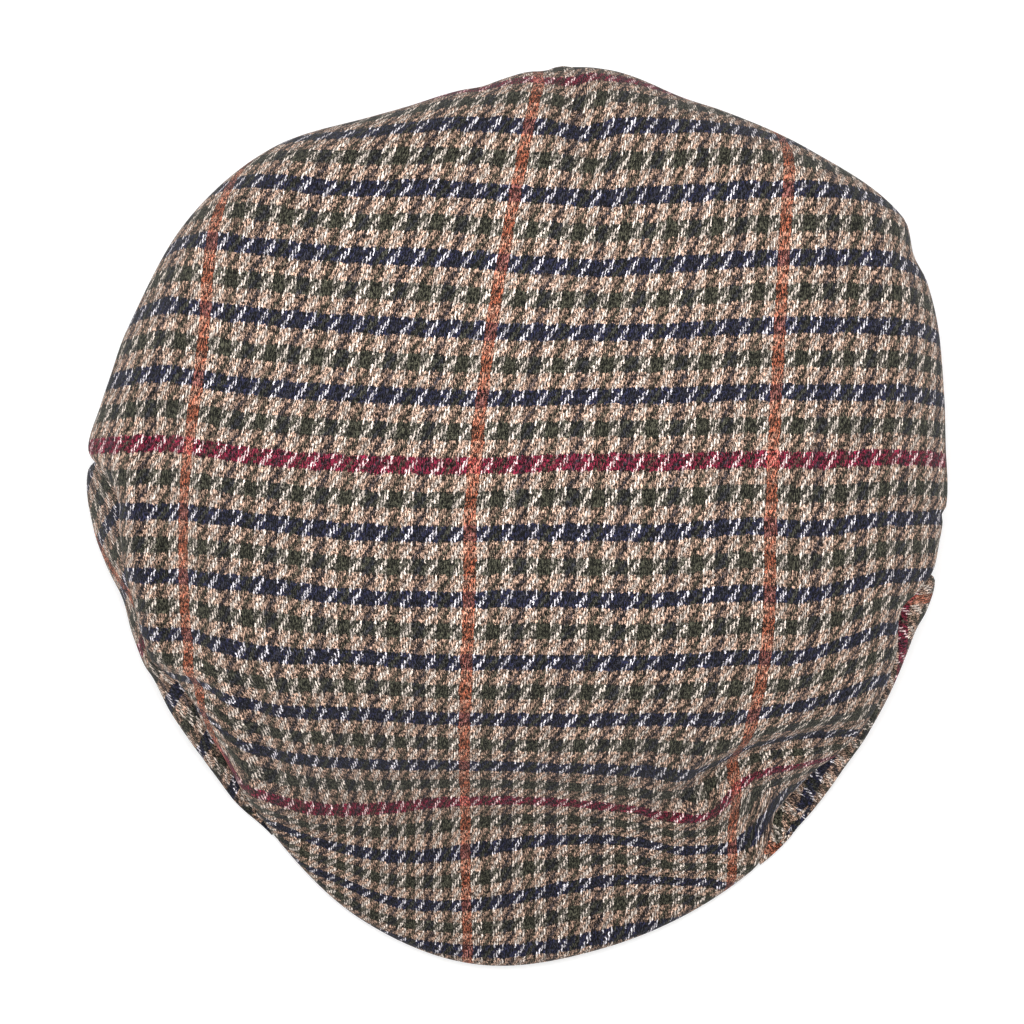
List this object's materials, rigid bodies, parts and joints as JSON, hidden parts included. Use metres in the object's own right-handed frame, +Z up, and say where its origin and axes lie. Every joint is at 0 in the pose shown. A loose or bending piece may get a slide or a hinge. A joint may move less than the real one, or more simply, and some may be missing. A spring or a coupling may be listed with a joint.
{
  "type": "flat cap",
  "caption": "Soft tweed flat cap with a one-piece top over the peak, two side panels and a stiff peak, lying on its hem.",
  "frame": {"origin": "on the table under the middle of the cap's box", "axes": "+Z up, the peak points to -Y, the back of the cap to +Y, the wearer's left to +X"},
  "size_m": [0.2587, 0.2791, 0.086],
  "materials": {
    "tweed": "brushed wool tweed in a houndstooth check, cream and tan with dark green and navy, crossed by rust and burgundy lines"
  },
  "bodies": {
    "root": {"top_panel": "tweed", "side_panel_left": "tweed", "side_panel_right": "tweed", "peak": "tweed"}
  },
  "joints": []
}
